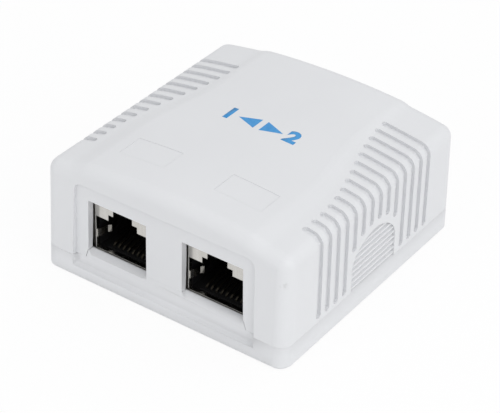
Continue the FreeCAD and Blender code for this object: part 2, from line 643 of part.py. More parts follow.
def make_base():
    tray = drafted_block(0, 0, SEAM_HEIGHT)
    foot = min(tray.Faces, key=lambda face: face.CenterOfMass.z)
    tray = tray.makeChamfer(FOOT_CHAMFER, foot.OuterWire.Edges)
    pocket = box(-TRAY_HALF, TRAY_HALF, PANEL_INNER_Y, 0, FLOOR, ABOVE)
    tray = tray.cut([drafted_block(TRAY_INSET, FLOOR, ABOVE), pocket, recess_cutter(LEDGE_HEIGHT)])
    tongue = tongue_prism(0, RECESS_Y, PANEL_INNER_Y)
    pillars = [box(x - BOSS_HALF, x + BOSS_HALF, y - BOSS_HALF, y + BOSS_HALF, FLOOR, top)
               for x, y, top in boss_places()]
    for _, sign in SIDES:
        middle = sign * JACK_PITCH / 2
        pillars.append(box(middle - REST_WIDTH / 2, middle + REST_WIDTH / 2,
                           PANEL_INNER_Y, PANEL_INNER_Y + REST_REACH, FLOOR, BOARD_UNDERSIDE))
        pillars.append(box(middle - REST_WIDTH / 2, middle + REST_WIDTH / 2,
                           BOARD_BACK - REST_REACH, BOARD_BACK, FLOOR, BOARD_UNDERSIDE))
    bump_x = half_width(SEAM_HEIGHT) - RIM_INSET + BUMP_PROUD - BUMP_RADIUS
    limit = drafted_block(RIM_INSET - BUMP_PROUD, FLOOR, RIM_TOP)
    bumps = [bar.common(limit) for bar in snap_bars(bump_x, BUMP_RADIUS)]
    base = fuse_all([tray, tongue, lap_rim()] + pillars + bumps)
    holes = [Part.makeCylinder(SCREW_RADIUS + SCREW_GAP, ABOVE, V(x, y, PILOT_FLOOR))
             for x, y, _ in boss_places()]
    for _, sign in SIDES:
        centre = V(sign * FIXING_X, FIXING_Y, 0)
        holes.append(Part.makeCylinder(FIXING_RADIUS, FLOOR, centre))
        holes.append(Part.makeCone(FIXING_RADIUS, FIXING_SINK_RADIUS, FIXING_SINK_DEPTH,
                                   centre + V(0, 0, FLOOR - FIXING_SINK_DEPTH)))
    return base.cut(holes)


# ---- circuit board ---------------------------------------------------------
def contact_x(centre, index):
    return centre + (index - (CONTACT_COUNT - 1) / 2) * CONTACT_PITCH


def contact_tail_y(index):
    return TAIL_ROW_FRONT if index % 2 else TAIL_ROW_BACK


def terminal_x(centre, index):
    return centre + (index - (CONTACT_COUNT - 1) / 2) * TERMINAL_PITCH


def terminal_y(index):
    middle = (TERMINAL_FRONT + TERMINAL_BACK) / 2
    return middle + (BLADE_STAGGER if index % 2 else -BLADE_STAGGER)


def lug_box(centre, end, gap):
    """A shield's board lug, grown by a gap."""
    outer = centre + end * SHIELD_WIDTH / 2
    inner = outer - end * SHEET
    low, high = sorted((outer, inner))
    half = LUG_WIDTH / 2 + gap
    return box(low - gap, high + gap, LUG_Y - half, LUG_Y + half, TAIL_END, BOARD_TOP + SHEET)


def make_board():
    board = box(-BOARD_HALF, BOARD_HALF, BOARD_FRONT, BOARD_BACK, BOARD_UNDERSIDE, BOARD_TOP)
    board = board.makeChamfer(BOARD_CORNER, edges_along(board, V(0, 0, 1), lambda c: True))
    half = TAIL_HOLE / 2
    cuts = []
    for _, sign in SIDES:
        centre = sign * JACK_PITCH / 2
        cuts.append(Part.makeCylinder(SCREW_RADIUS + SCREW_HOLE_GAP, ABOVE,
                                      V(sign * BOARD_SCREW_X, BOARD_SCREW_Y, 0)))
        for index in range(CONTACT_COUNT):
            for x, y in ((contact_x(centre, index), contact_tail_y(index)),
                         (terminal_x(centre, index), terminal_y(index))):
                cuts.append(box(x - half, x + half, y - half, y + half, 0, ABOVE))
        cuts += [lug_box(centre, end, LUG_SLOT_GAP) for end in (-1, 1)]
    return board.cut(cuts)


# ---- shielded jack ---------------------------------------------------------
def port_prism(ease, y0, y1):
    """The plug opening with its two-step latch notch, grown by an ease."""
    steps = ((PORT_WIDTH, PORT_TOP), (LATCH_WIDTH, LATCH_TOP), (LATCH_NARROW_WIDTH, LATCH_NARROW_TOP))
    right = [(PORT_WIDTH / 2 + ease, PORT_BOTTOM - ease)]
    for i, (width, top) in enumerate(steps):
        right.append((width / 2 + ease, top + ease))
        if i + 1 < len(steps):
            right.append((steps[i + 1][0] / 2 + ease, top + ease))
    left = [(-x, z) for x, z in right[::-1]]
    return face_xz(right + left, y0).extrude(V(0, y1 - y0, 0))


def ground_spring():
    """The finger that bends into the port from its right edge and touches the plug."""
    edge = PORT_WIDTH / 2
    half = SPRING_SHEET / 2
    path = [(edge - SPRING_ROOT, SHIELD_Y - SHEET), (edge - SPRING_SHOULDER, SHIELD_Y + SHEET),
            (edge - SPRING_CREST, SHIELD_Y + SPRING_REACH / 2),
            (edge - SPRING_SHOULDER, SHIELD_Y + SPRING_REACH)]
    low = PORT_BOTTOM + SPRING_LIFT
    outline = [V(x - half, y, low) for x, y in path]
    outline += [V(x + half, y, low) for x, y in path[::-1]]
    return face_of(outline).extrude(V(0, 0, SPRING_HEIGHT))


def make_shield(centre):
    half = SHIELD_WIDTH / 2
    outer = box(-half, half, SHIELD_Y, SHIELD_BACK_Y, BOARD_TOP, SHIELD_TOP)
    outer = outer.makeFillet(BEND_RADIUS, edges_along(outer, V(0, 1, 0), lambda c: c.z > PORT_TOP))
    inner = box(SHEET - half, half - SHEET, SHIELD_Y + SHEET, SHIELD_BACK_Y - SHEET,
                BOARD_TOP, SHIELD_TOP - SHEET)
    nose = box(-NOSE_WIDTH / 2, NOSE_WIDTH / 2, NOSE_Y, SHIELD_Y + SHEET, NOSE_BOTTOM, NOSE_TOP)
    lugs = [lug_box(0, end, 0) for end in (-1, 1)]
    can = fuse_all([outer.cut(inner), nose] + lugs)
    can = can.cut(port_prism(0, NOSE_Y, SHIELD_Y + SHEET))
    can = fuse_all([can] + both_sides(ground_spring()))
    can.translate(V(centre, 0, 0))
    return can


def insert_block(gap):
    """The contact insert's bed under the port, grown by a gap."""
    return box(-INSERT_HALF - gap, INSERT_HALF + gap, INSERT_FRONT - gap, INSERT_BACK + gap,
               BOARD_TOP, PORT_BOTTOM)


def make_housing(centre):
    inset = SHEET + FIT
    half = SHIELD_WIDTH / 2 - inset
    body = box(-half, half, SHIELD_Y + inset, SHIELD_BACK_Y - inset, BOARD_TOP, SHIELD_TOP - inset)
    mouth = port_prism(CAVITY_EASE, SHIELD_Y, CAVITY_BACK_Y)
    body = body.cut([mouth, insert_block(FIT)])
    body.translate(V(centre, 0, 0))
    return body


def contact_strip(index):
    """One sprung contact: solder tail, run under the port, hairpin and sloping free end."""
    tail = contact_tail_y(index)
    run = BOARD_TOP + CONTACT_RUN_LIFT
    hairpin = PORT_BOTTOM + CONTACT_HAIRPIN
    path = [(tail, TAIL_END), (tail, run), (HAIRPIN_Y, run), (HAIRPIN_Y, hairpin - CONTACT_THICKNESS),
            (HAIRPIN_Y + CONTACT_BEND, hairpin), (COMB_FRONT + TIP_LAP, hairpin + CONTACT_RISE)]
    return bent_strip(path, CONTACT_THICKNESS, CONTACT_WIDTH, contact_x(0, index) - CONTACT_WIDTH / 2)


def make_contacts(centre):
    strips = Part.Compound([contact_strip(index) for index in range(CONTACT_COUNT)])
    strips.translate(V(centre, 0, 0))
    return strips


def make_insert(centre):
    comb = box(-INSERT_HALF, INSERT_HALF, COMB_FRONT, COMB_BACK, BOARD_TOP, PORT_BOTTOM + COMB_HEIGHT)
    block = fuse_all([insert_block(0), comb])
    cuts = [contact_strip(index) for index in range(CONTACT_COUNT)]
    for index in range(CONTACT_COUNT):
        x = contact_x(0, index)
        cuts.append(box(x - COMB_SLOT / 2, x + COMB_SLOT / 2, COMB_FRONT, COMB_BACK - COMB_WEB,
                        PORT_BOTTOM + COMB_SLOT_FLOOR, PORT_BOTTOM + COMB_HEIGHT))
    block = block.cut(cuts)
    block.translate(V(centre, 0, 0))
    return block


# ---- insulation-displacement terminals -------------------------------------
def blade(index):
    """A forked contact across its wire slot, with its solder tail."""
    x = terminal_x(0, index)
    y = terminal_y(index) - BLADE_THICKNESS / 2
    half = BLADE_WIDTH / 2
    tail = BLADE_TAIL / 2
    slit = BLADE_SLIT / 2
    root = BOARD_TOP + BLADE_ROOT
    low = BLADE_TOP - BLADE_SLIT_DEPTH
    outline = [(x - tail, TAIL_END), (x + tail, TAIL_END), (x + tail, root), (x + half, root),
               (x + half, BLADE_TOP), (x + half - slit, BLADE_TOP), (x + slit, BLADE_TOP - half + slit),
               (x + slit, low), (x - slit, low), (x - slit, BLADE_TOP - half + slit),
               (x - half + slit, BLADE_TOP), (x - half, BLADE_TOP), (x - half, root), (x - tail, root)]
    return face_xz(outline, y).extrude(V(0, BLADE_THICKNESS, 0))


def make_blades(centre):
    blades = Part.Compound([blade(index) for index in range(CONTACT_COUNT)])
    blades.translate(V(centre, 0, 0))
    return blades


def blade_pocket(index):
    """The pocket that a blade is pushed into, with the hole for its tail."""
    x = terminal_x(0, index)
    y = terminal_y(index)
    half = BLADE_WIDTH / 2 + FIT
    tail = BLADE_TAIL / 2 + FIT
    thick = BLADE_THICKNESS / 2 + FIT
    root = BOARD_TOP + BLADE_ROOT
    outline = [(x - tail, BOARD_TOP), (x + tail, BOARD_TOP), (x + tail, root), (x + half, root),
               (x + half, TOWER_TOP), (x - half, TOWER_TOP), (x - half, root), (x - tail, root)]
    return face_xz(outline, y - thick).extrude(V(0, 2 * thick, 0))


def make_terminal(centre):
    """A block of towers with one wire slot for each contact."""
    floor = BOARD_TOP + TERMINAL_BODY
    brow = TOWER_TOP - TOWER_CHAMFER
    half = TERMINAL_HALF
    slot = WIRE_SLOT / 2
    profile = [(-half, BOARD_TOP), (half, BOARD_TOP), (half, TOWER_TOP)]
    for index in reversed(range(CONTACT_COUNT)):
        x = terminal_x(0, index)
        mouth = slot + TOWER_CHAMFER / 2
        profile += [(x + mouth, TOWER_TOP), (x + slot, brow), (x + slot, floor),
                    (x - slot, floor), (x - slot, brow), (x - mouth, TOWER_TOP)]
    profile.append((-half, TOWER_TOP))
    block = face_xz(profile, TERMINAL_FRONT).extrude(V(0, TERMINAL_DEPTH, 0))
    block = block.cut([blade_pocket(index) for index in range(CONTACT_COUNT)])
    block.translate(V(centre, 0, 0))
    return block


# ---- ground plate, cable clamps and screws ---------------------------------
def clamp_screw_holes():
    return [Part.makeCylinder(SCREW_RADIUS + SCREW_HOLE_GAP, ABOVE, V(x, CLAMP_Y, 0))
            for x in clamp_screw_xs()]


def make_ground_plate():
    """A sheet plate under the clamps, with a strap and ears that grip both shields."""
    front = CLAMP_Y - PLATE_DEPTH / 2
    bar = box(-PLATE_HALF, PLATE_HALF, front, CLAMP_Y + PLATE_DEPTH / 2, BOARD_TOP, PLATE_TOP)
    bar = bar.makeChamfer(CLAMP_CORNER, edges_along(bar, V(0, 0, 1), lambda c: True))
    strap_half = EAR_X - STRAP_GAP
    strap = box(-strap_half, strap_half, EAR_FRONT, front + CLAMP_CORNER, BOARD_TOP, PLATE_TOP)
    foot = box(-EAR_X, EAR_X, EAR_FRONT, EAR_BACK, BOARD_TOP, PLATE_TOP)
    ear = box(EAR_X - EAR_SHEET, EAR_X, EAR_FRONT, EAR_BACK, BOARD_TOP, BOARD_TOP + EAR_HEIGHT)
    return fuse_all([bar, strap, foot] + both_sides(ear)).cut(clamp_screw_holes())


def make_clamp(centre):
    """A saddle bent over the cable, with a screwed foot on each side."""
    spring = PLATE_TOP + CABLE_RADIUS
    front = CLAMP_Y - CLAMP_LENGTH / 2

    def arch(radius):
        top = Part.Arc(V(-radius, front, spring), V(0, front, spring + radius),
                       V(radius, front, spring)).toShape()
        legs = Part.makePolygon([V(radius, front, spring), V(radius, front, PLATE_TOP),
                                 V(-radius, front, PLATE_TOP), V(-radius, front, spring)])
        return Part.Face(Part.Wire([top] + legs.Edges)).extrude(V(0, CLAMP_LENGTH, 0))

    feet = box(-CLAMP_FOOT, CLAMP_FOOT, front, front + CLAMP_LENGTH, PLATE_TOP, PLATE_TOP + CLAMP_SHEET)
    feet = feet.makeChamfer(CLAMP_CORNER, edges_along(feet, V(0, 0, 1), lambda c: True))
    saddle = fuse_all([arch(CABLE_RADIUS + CLAMP_SHEET), feet]).cut(arch(CABLE_RADIUS))
    saddle.translate(V(centre, 0, 0))
    return saddle.cut(clamp_screw_holes())


def make_screw(x, y, seat):
    """A pan-head screw from its seat down into its boss."""
    tip = PILOT_FLOOR + SCREW_TIP_GAP
    top = seat + HEAD_HEIGHT
    profile = [V(0, 0, tip), V(SCREW_RADIUS, 0, tip), V(SCREW_RADIUS, 0, seat),
               V(HEAD_RADIUS, 0, seat), V(HEAD_RADIUS, 0, top), V(0, 0, top)]
    screw = face_of(profile).revolve(V(0, 0, 0), V(0, 0, 1), 360)
    screw.translate(V(x, y, 0))
    return screw


def make_board_screws():
    return Part.Compound([make_screw(sign * BOARD_SCREW_X, BOARD_SCREW_Y, BOARD_TOP) for _, sign in SIDES])


def make_clamp_screws():
    return Part.Compound([make_screw(x, CLAMP_Y, PLATE_TOP + CLAMP_SHEET) for x in clamp_screw_xs()])


# ---- build and export ------------------------------------------------------
def build():
    parts = {
        "base": make_base(),
        "cover": make_cover(),
        "circuit_board": make_board(),
        "board_screws": make_board_screws(),
        "ground_plate": make_ground_plate(),
        "clamp_screws": make_clamp_screws(),
    }
    for side, sign in SIDES:
        centre = sign * JACK_PITCH / 2
        parts[side + "_jack_shield"] = make_shield(centre)
        parts[side + "_jack_housing"] = make_housing(centre)
        parts[side + "_contact_insert"] = make_insert(centre)
        parts[side + "_jack_contacts"] = make_contacts(centre)
        parts[side + "_terminal_block"] = make_terminal(centre)
        parts[side + "_terminal_blades"] = make_blades(centre)
        parts[side + "_cable_clamp"] = make_clamp(sign * CLAMP_X)
    return parts


os.makedirs("parts", exist_ok=True)
for name, shape in build().items():
    solids = Part.Compound(shape.Solids)
    print(name, len(shape.Solids), "solids", round(solids.Volume, 2), "mm3", "valid", shape.isValid())
    solid = shape.Solids[0] if len(shape.Solids) == 1 else solids
    solid.exportStep("parts/" + name + ".step")
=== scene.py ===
import bpy
import bmesh
import math
from mathutils import Matrix, Vector


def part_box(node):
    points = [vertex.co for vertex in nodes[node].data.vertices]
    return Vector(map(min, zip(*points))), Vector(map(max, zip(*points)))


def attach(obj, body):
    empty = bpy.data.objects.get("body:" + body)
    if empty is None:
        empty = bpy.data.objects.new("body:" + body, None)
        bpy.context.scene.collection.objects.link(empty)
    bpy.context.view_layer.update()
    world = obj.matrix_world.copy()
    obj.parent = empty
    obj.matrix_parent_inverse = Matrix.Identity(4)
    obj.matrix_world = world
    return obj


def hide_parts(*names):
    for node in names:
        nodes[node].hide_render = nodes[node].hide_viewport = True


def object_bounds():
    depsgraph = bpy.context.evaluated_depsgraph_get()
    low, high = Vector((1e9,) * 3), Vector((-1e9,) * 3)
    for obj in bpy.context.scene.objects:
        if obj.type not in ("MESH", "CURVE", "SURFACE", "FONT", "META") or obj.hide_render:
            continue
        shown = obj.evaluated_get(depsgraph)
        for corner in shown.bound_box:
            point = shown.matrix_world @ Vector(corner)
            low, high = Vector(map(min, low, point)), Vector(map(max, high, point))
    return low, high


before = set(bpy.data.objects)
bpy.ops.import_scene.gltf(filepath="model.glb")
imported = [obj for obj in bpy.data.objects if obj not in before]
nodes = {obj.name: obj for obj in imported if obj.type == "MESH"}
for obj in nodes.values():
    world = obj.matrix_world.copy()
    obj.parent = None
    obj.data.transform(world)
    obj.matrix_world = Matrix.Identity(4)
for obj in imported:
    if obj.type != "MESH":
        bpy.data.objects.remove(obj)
cad_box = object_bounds()
MM = 0.001
SIDES = ("left", "right")


# ---- node helpers ----------------------------------------------------------
class Graph:
    """A short way to write a node material."""

    def __init__(self, name):
        self.material = bpy.data.materials.new(name)
        self.material.use_nodes = True
        self.tree = self.material.node_tree
        self.shader = self.tree.nodes["Principled BSDF"]
        coords = self.tree.nodes.new("ShaderNodeTexCoord")
        self.place = coords.outputs["Object"]

    def node(self, kind, **values):
        made = self.tree.nodes.new(kind)
        for key, value in values.items():
            setattr(made, key, value)
        return made

    def link(self, source, target):
        self.tree.links.new(source, target)

    def value(self, socket, number):
        self.shader.inputs[socket].default_value = number

    def color(self, source):
        self.link(source, self.shader.inputs["Base Color"])

    def roughness(self, source, low, high):
        self.link(self.spread(source, low, high), self.shader.inputs["Roughness"])

    def noise(self, scale, detail=2.0, rough=0.5, squash=None):
        made = self.node("ShaderNodeTexNoise")
        made.inputs["Scale"].default_value = scale
        made.inputs["Detail"].default_value = detail
        made.inputs["Roughness"].default_value = rough
        place = self.place
        if squash:
            mapping = self.node("ShaderNodeMapping")
            mapping.inputs["Scale"].default_value = squash
            self.link(place, mapping.inputs["Vector"])
            place = mapping.outputs["Vector"]
        self.link(place, made.inputs["Vector"])
        return made.outputs["Fac"]

    def tones(self, source, low, high):
        """A colour that moves between two tones with a texture."""
        made = self.node("ShaderNodeValToRGB")
        for element, at, tone in zip(made.color_ramp.elements, (0.3, 0.7), (low, high)):
            element.position = at
            element.color = (*tone, 1)
        self.link(source, made.inputs["Fac"])
        return made.outputs["Color"]

    def spread(self, source, low, high, from_low=0.0, from_high=1.0):
        """A value carried from one range to another, and held at its ends."""
        made = self.node("ShaderNodeMapRange")
        made.inputs["From Min"].default_value = from_low
        made.inputs["From Max"].default_value = from_high
        made.inputs["To Min"].default_value = low
        made.inputs["To Max"].default_value = high
        self.link(source, made.inputs["Value"])
        return made.outputs["Result"]

    def math(self, operation, *values):
        made = self.node("ShaderNodeMath", operation=operation)
        for socket, value in zip(made.inputs, values):
            if isinstance(value, (int, float)):
                socket.default_value = value
            else:
                self.link(value, socket)
        return made.outputs[0]

    def axes(self):
        made = self.node("ShaderNodeSeparateXYZ")
        self.link(self.place, made.inputs[0])
        return made.outputs[0], made.outputs[1], made.outputs[2]

    def mix(self, amount, a, b):
        made = self.node("ShaderNodeMix", data_type="RGBA")
        for socket, value in zip((made.inputs[0], made.inputs[6], made.inputs[7]), (amount, a, b)):
            if isinstance(value, tuple):
                socket.default_value = (*value, 1)
            else:
                self.link(value, socket)
        return made.outputs[2]

    def bump(self, height, distance, strength, base=None):
        made = self.node("ShaderNodeBump")
        made.inputs["Strength"].default_value = strength
        made.inputs["Distance"].default_value = distance
        self.link(height, made.inputs["Height"])
        if base is not None:
            self.link(base, made.inputs["Normal"])
        self.link(made.outputs["Normal"], self.shader.inputs["Normal"])
        return made.outputs["Normal"]

    def soft_edges(self, radius):
        made = self.node("ShaderNodeBevel", samples=6)
        made.inputs["Radius"].default_value = radius
        return made.outputs["Normal"]


# ---- materials -------------------------------------------------------------
SCUFF = ((24.6, 1.2), (-26.2, 1.2), (17.2, 1.3))   # centre and reach along x, y and z, in mm
TIN_FADE = (4.5 * MM, 5.6 * MM)                    # heights where a wire's tinned tail ends
TRACK_PITCH = 1.27 * MM
TRACK_WOBBLE = 4 * MM
TRACK_START = (-8.5 * MM, -8.0 * MM)
TRACK_END = (-2.0 * MM, -1.5 * MM)
BOARD_MIDDLE = 4.0 * MM
BOARD_SKIN = (0.78 * MM, 0.79 * MM)                # half thickness, where the cut edge ends


def white_plastic():
    """Satin white moulding with a fine spark-eroded skin and one faint scuff."""
    g = Graph("white_moulding")
    tone = g.tones(g.noise(60, 3), (0.735, 0.742, 0.758), (0.752, 0.759, 0.774))
    far = None
    for axis, (centre, reach) in zip(g.axes(), SCUFF):
        away = g.math("DIVIDE", g.math("SUBTRACT", axis, centre * MM), reach * MM)
        part = g.math("POWER", away, 2)
        far = part if far is None else g.math("ADD", far, part)
    near = g.spread(far, 1.0, 0.0, 0.2, 1.0)
    scratch = g.spread(g.noise(1500, 4, 0.7, (1, 1, 0.35)), 0.0, 1.0, 0.52, 0.64)
    scuff = g.math("MULTIPLY", near, scratch)
    g.color(g.mix(g.math("MULTIPLY", scuff, 0.35), tone, (0.50, 0.50, 0.50)))
    g.roughness(g.noise(300, 3), 0.40, 0.50)
    g.value("IOR", 1.5)
    g.value("Specular IOR Level", 0.42)
    wave = g.bump(g.noise(95, 1), 0.06 * MM, 0.5, g.soft_edges(0.1 * MM))
    g.bump(g.noise(5200, 2, 0.6), 0.012 * MM, 0.5, wave)
    return g


def nickel_sheet(name, low, high):
    """Thin nickel-plated sheet, slightly warm, with a fine rolled grain."""
    g = Graph(name)
    grain = g.noise(900, 3, 0.6, (1, 1, 0.12))
    g.color(g.tones(grain, low, high))
    g.value("Metallic", 1.0)
    g.roughness(g.noise(700, 2), 0.17, 0.25)
    g.bump(grain, 0.006 * MM, 0.5, g.soft_edges(0.06 * MM))
    return g


def black_plastic():
    g = Graph("black_moulding")
    g.color(g.tones(g.noise(500, 3), (0.0045, 0.0045, 0.005), (0.008, 0.008, 0.0085)))
    g.roughness(g.noise(900, 2), 0.5, 0.62)
    g.value("Specular IOR Level", 0.3)
    g.bump(g.noise(4000, 2), 0.01 * MM, 0.5, g.soft_edges(0.08 * MM))
    return g


def gold_contact():
    """Spring wire with a paler tinned tail; its near-black colour is painted shade, as it lies
    deep in a socket.
    """
    g = Graph("gold_contact")
    draw = g.noise(2500, 2, 0.5, (1, 0.08, 1))
    # Painted shade: the wire's tones are near black in place of the socket's shade.
    painted_shade_wire = g.tones(draw, (0.040, 0.036, 0.028), (0.065, 0.058, 0.045))
    tail = g.spread(g.axes()[2], 1.0, 0.0, *TIN_FADE)
    g.color(g.mix(tail, painted_shade_wire, (0.60, 0.60, 0.58)))
    g.value("Metallic", 1.0)
    g.roughness(draw, 0.40, 0.52)
    g.bump(draw, 0.004 * MM, 0.4)
    return g


def circuit_laminate():
    """Green solder mask with raised copper tracks running between the rows of tails."""
    g = Graph("circuit_laminate")
    x, y, z = g.axes()
    wobble = g.math("MULTIPLY", g.noise(90, 0), TRACK_WOBBLE)
    lane = g.math("FRACT", g.math("DIVIDE", g.math("ADD", x, wobble), TRACK_PITCH))
    track = g.spread(g.math("ABSOLUTE", g.math("SUBTRACT", lane, 0.5)), 1.0, 0.0, 0.17, 0.21)
    begun = g.spread(y, 0.0, 1.0, *TRACK_START)
    zone = g.math("MULTIPLY", begun, g.spread(y, 1.0, 0.0, *TRACK_END))
    copper = g.math("MULTIPLY", track, zone)
    mask = g.tones(g.noise(250, 3), (0.012, 0.13, 0.055), (0.018, 0.16, 0.07))
    flat = g.spread(g.math("ABSOLUTE", g.math("SUBTRACT", z, BOARD_MIDDLE)), 0.0, 1.0, *BOARD_SKIN)
    g.color(g.mix(flat, (0.42, 0.37, 0.20), g.mix(copper, mask, (0.05, 0.27, 0.11))))
    g.roughness(g.noise(400, 2), 0.22, 0.34)
    g.value("Coat Weight", 0.4)
    g.value("Coat Roughness", 0.15)
    g.bump(g.math("ADD", copper, g.math("MULTIPLY", g.noise(1500, 2), 0.3)), 0.03 * MM, 0.6)
    return g


def terminal_plastic():
    g = Graph("terminal_moulding")
    g.color(g.tones(g.noise(200, 3), (0.60, 0.60, 0.57), (0.66, 0.66, 0.63)))
    g.roughness(g.noise(500, 2), 0.38, 0.5)
    g.bump(g.noise(3500, 2), 0.01 * MM, 0.5, g.soft_edges(0.08 * MM))
    return g


def tinned_blade():
    g = Graph("tinned_blade")
    roll = g.noise(1200, 3, 0.6, (1, 1, 0.1))
    g.color(g.tones(roll, (0.60, 0.60, 0.58), (0.72, 0.72, 0.70)))
    g.value("Metallic", 1.0)
    g.roughness(roll, 0.28, 0.42)
    g.bump(roll, 0.006 * MM, 0.4)
    return g


def zinc_steel(name, low, high, squash):
    """Bright zinc plate with a cloudy passivated surface."""
    g = Graph(name)
    cloud = g.noise(260, 4, 0.6)
    g.color(g.tones(cloud, low, high))
    g.value("Metallic", 1.0)
    g.roughness(cloud, 0.26, 0.44)
    g.bump(g.noise(1800, 2, 0.5, squash), 0.008 * MM, 0.4, g.soft_edges(0.1 * MM))
    return g


def blue_ink():
    """Pad-printed ink, a little uneven where it lies on the textured skin."""
    g = Graph("blue_ink")
    g.color(g.tones(g.noise(1400, 3), (0.030, 0.26, 0.60), (0.050, 0.31, 0.66)))
    g.roughness(g.noise(900, 2), 0.35, 0.45)
    g.bump(g.noise(5200, 2), 0.01 * MM, 0.4)
    return g


def paint(piece, graph):
    """Gives an object one material and takes any other away."""
    piece.data.materials.clear()
    piece.data.materials.append(graph.material)


white = white_plastic()
nickel = nickel_sheet("nickel_sheet", (0.545, 0.53, 0.50), (0.61, 0.597, 0.57))
# A darker copy of the nickel sheet: painted shade for the spring tips, which sit deep in a socket.
nickel_painted_shade = nickel_sheet("nickel_painted_shade", (0.24, 0.235, 0.225), (0.32, 0.313, 0.30))
black = black_plastic()
gold = gold_contact()
tin = tinned_blade()
housing_plastic = terminal_plastic()
ink = blue_ink()
plate = zinc_steel("zinc_plate", (0.60, 0.61, 0.62), (0.70, 0.71, 0.73), (1, 0.1, 1))
screw = zinc_steel("zinc_screw", (0.55, 0.55, 0.55), (0.68, 0.68, 0.69), (1, 1, 1))
paint(nodes["cover"], white)
paint(nodes["base"], white)
paint(nodes["circuit_board"], circuit_laminate())
paint(nodes["board_screws"], screw)
paint(nodes["clamp_screws"], screw)
paint(nodes["ground_plate"], plate)
for side in SIDES:
    paint(nodes[side + "_jack_shield"], nickel)
    paint(nodes[side + "_jack_housing"], black)
    paint(nodes[side + "_contact_insert"], black)
    paint(nodes[side + "_jack_contacts"], gold)
    paint(nodes[side + "_terminal_block"], housing_plastic)
    paint(nodes[side + "_terminal_blades"], tin)
    paint(nodes[side + "_cable_clamp"], plate)


# ---- mesh helpers ----------------------------------------------------------
WELD = 1e-7                  # corners nearer than this are one
SLIVER = 0.001 * MM          # edges shorter than this are dissolved
SHARP = math.radians(35)
DOWN = (0, 0, -1)
REARWARD = (0, 1, 0)
FAR_AHEAD = -1               # a metre in front of the box


def new_object(name, bm):
    """A scene object that holds a finished mesh."""
    mesh = bpy.data.meshes.new(name)
    bm.to_mesh(mesh)
    bm.free()
    made = bpy.data.objects.new(name, mesh)
    bpy.context.scene.collection.objects.link(made)
    return made


def node_copy(node):
    """A CAD node's own mesh, to be worked on."""
    bm = bmesh.new()
    bm.from_mesh(nodes[node].data)
    bmesh.ops.remove_doubles(bm, verts=bm.verts[:], dist=WELD)
    return bm


def evaluated_mesh(holder):
    """An object's mesh once its modifiers, or its text, are worked out."""
    bpy.context.view_layer.update()
    depsgraph = bpy.context.evaluated_depsgraph_get()
    return bpy.data.meshes.new_from_object(holder.evaluated_get(depsgraph))


def first_hit(node, origin, direction):
    """The first point of a CAD node's surface along a line."""
    found, place = nodes[node].ray_cast(Vector(origin), Vector(direction))[:2]
    assert found, node
    return place


def add_prism(bm, ends):
    """Closes two like outlines, one at each end, into a solid."""
    near, far = [[bm.verts.new(point) for point in end] for end in ends]
    bm.faces.new(near)
    bm.faces.new(far)
    for i in range(len(near)):
        j = (i + 1) % len(near)
        bm.faces.new([near[i], near[j], far[j], far[i]])


def prism(name, ends):
    """A closed solid between two like outlines."""
    bm = bmesh.new()
    add_prism(bm, ends)
    bmesh.ops.recalc_face_normals(bm, faces=bm.faces[:])
    return new_object(name, bm)


def block(name, low, high):
    """A plain closed box between two corners."""
    bm = bmesh.new()
    bmesh.ops.create_cube(bm, size=1.0)
    for v in bm.verts:
        v.co = [(a + b) / 2 + c * (b - a) for a, b, c in zip(low, high, v.co)]
    return new_object(name, bm)


# ---- base, with its sills, joint and ledge ---------------------------------
SILL_RUN = 1.05 * MM         # of the bevel under a socket, back from the tongue's face
SILL_DROP = 0.8 * MM         # and down from the tongue's top
JOINT_CLOSE = 0.075 * MM     # of the cover's clearance over the tongue
LEDGE_RISE = 0.45 * MM       # of the slope that fills the ledge below the tongue
SPARE = 0.1 * MM             # by which a tool reaches past what it shapes
NOSE_PROBE = 1.2 * MM        # in front of a shield's nose, over the tongue
TOP_PROBE = 0.5 * MM         # above or below the tongue's top
FACE_PROBE = 0.3 * MM        # behind the tongue's face
LEDGE_PROBE = 0.5 * MM       # in front of the tongue's face


def socket_opening(side):
    """The ends of a socket's opening along x, the tongue's face and the tongue's top."""
    low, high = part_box(side + "_jack_shield")
    middle = (low.x + high.x) / 2
    top_z = first_hit("base", (middle, low.y - NOSE_PROBE, high.z), DOWN).z
    face_y = first_hit("base", (middle, FAR_AHEAD, top_z - TOP_PROBE), REARWARD).y
    inside = (middle, face_y + FACE_PROBE, top_z + TOP_PROBE)
    ends = [first_hit("cover", inside, (way, 0, 0)).x for way in (-1, 1)]
    return ends, face_y, top_z


def sill_wedge(ends, face_y, top_z):
    """A solid whose slanted side bevels the tongue's top edge, with ends that slope too."""
    rise = SILL_DROP / SILL_RUN
    low_z = top_z - SILL_DROP - SPARE * rise
    high_z = top_z + SPARE * rise
    front_y = face_y - SPARE
    rear_y = face_y + SILL_RUN + SPARE
    return prism("wedge", [[(x + inward * SILL_DROP, front_y, low_z), (x, rear_y, high_z),
                            (x, front_y, high_z)] for x, inward in zip(ends, (1, -1))])


def ledge_slope(face_y, top_z):
    """A solid that turns the flat ledge below the tongue into a gentle slope."""
    probe_y = face_y - LEDGE_PROBE
    ledge_z = first_hit("base", (0, probe_y, top_z), DOWN).z
    lip_y = first_hit("base", (0, FAR_AHEAD, ledge_z - SPARE), REARWARD).y + SPARE / 2
    outline = [(lip_y, ledge_z - SPARE), (face_y + SPARE, ledge_z - SPARE),
               (face_y + SPARE, ledge_z + LEDGE_RISE), (face_y, ledge_z + LEDGE_RISE),
               (lip_y, ledge_z)]
    walls = [first_hit("base", (0, probe_y, ledge_z + SPARE), (way, 0, 0)).x + way * SPARE
             for way in (-1, 1)]
    return prism("ledge_slope", [[(x, y, z) for y, z in outline] for x in walls])


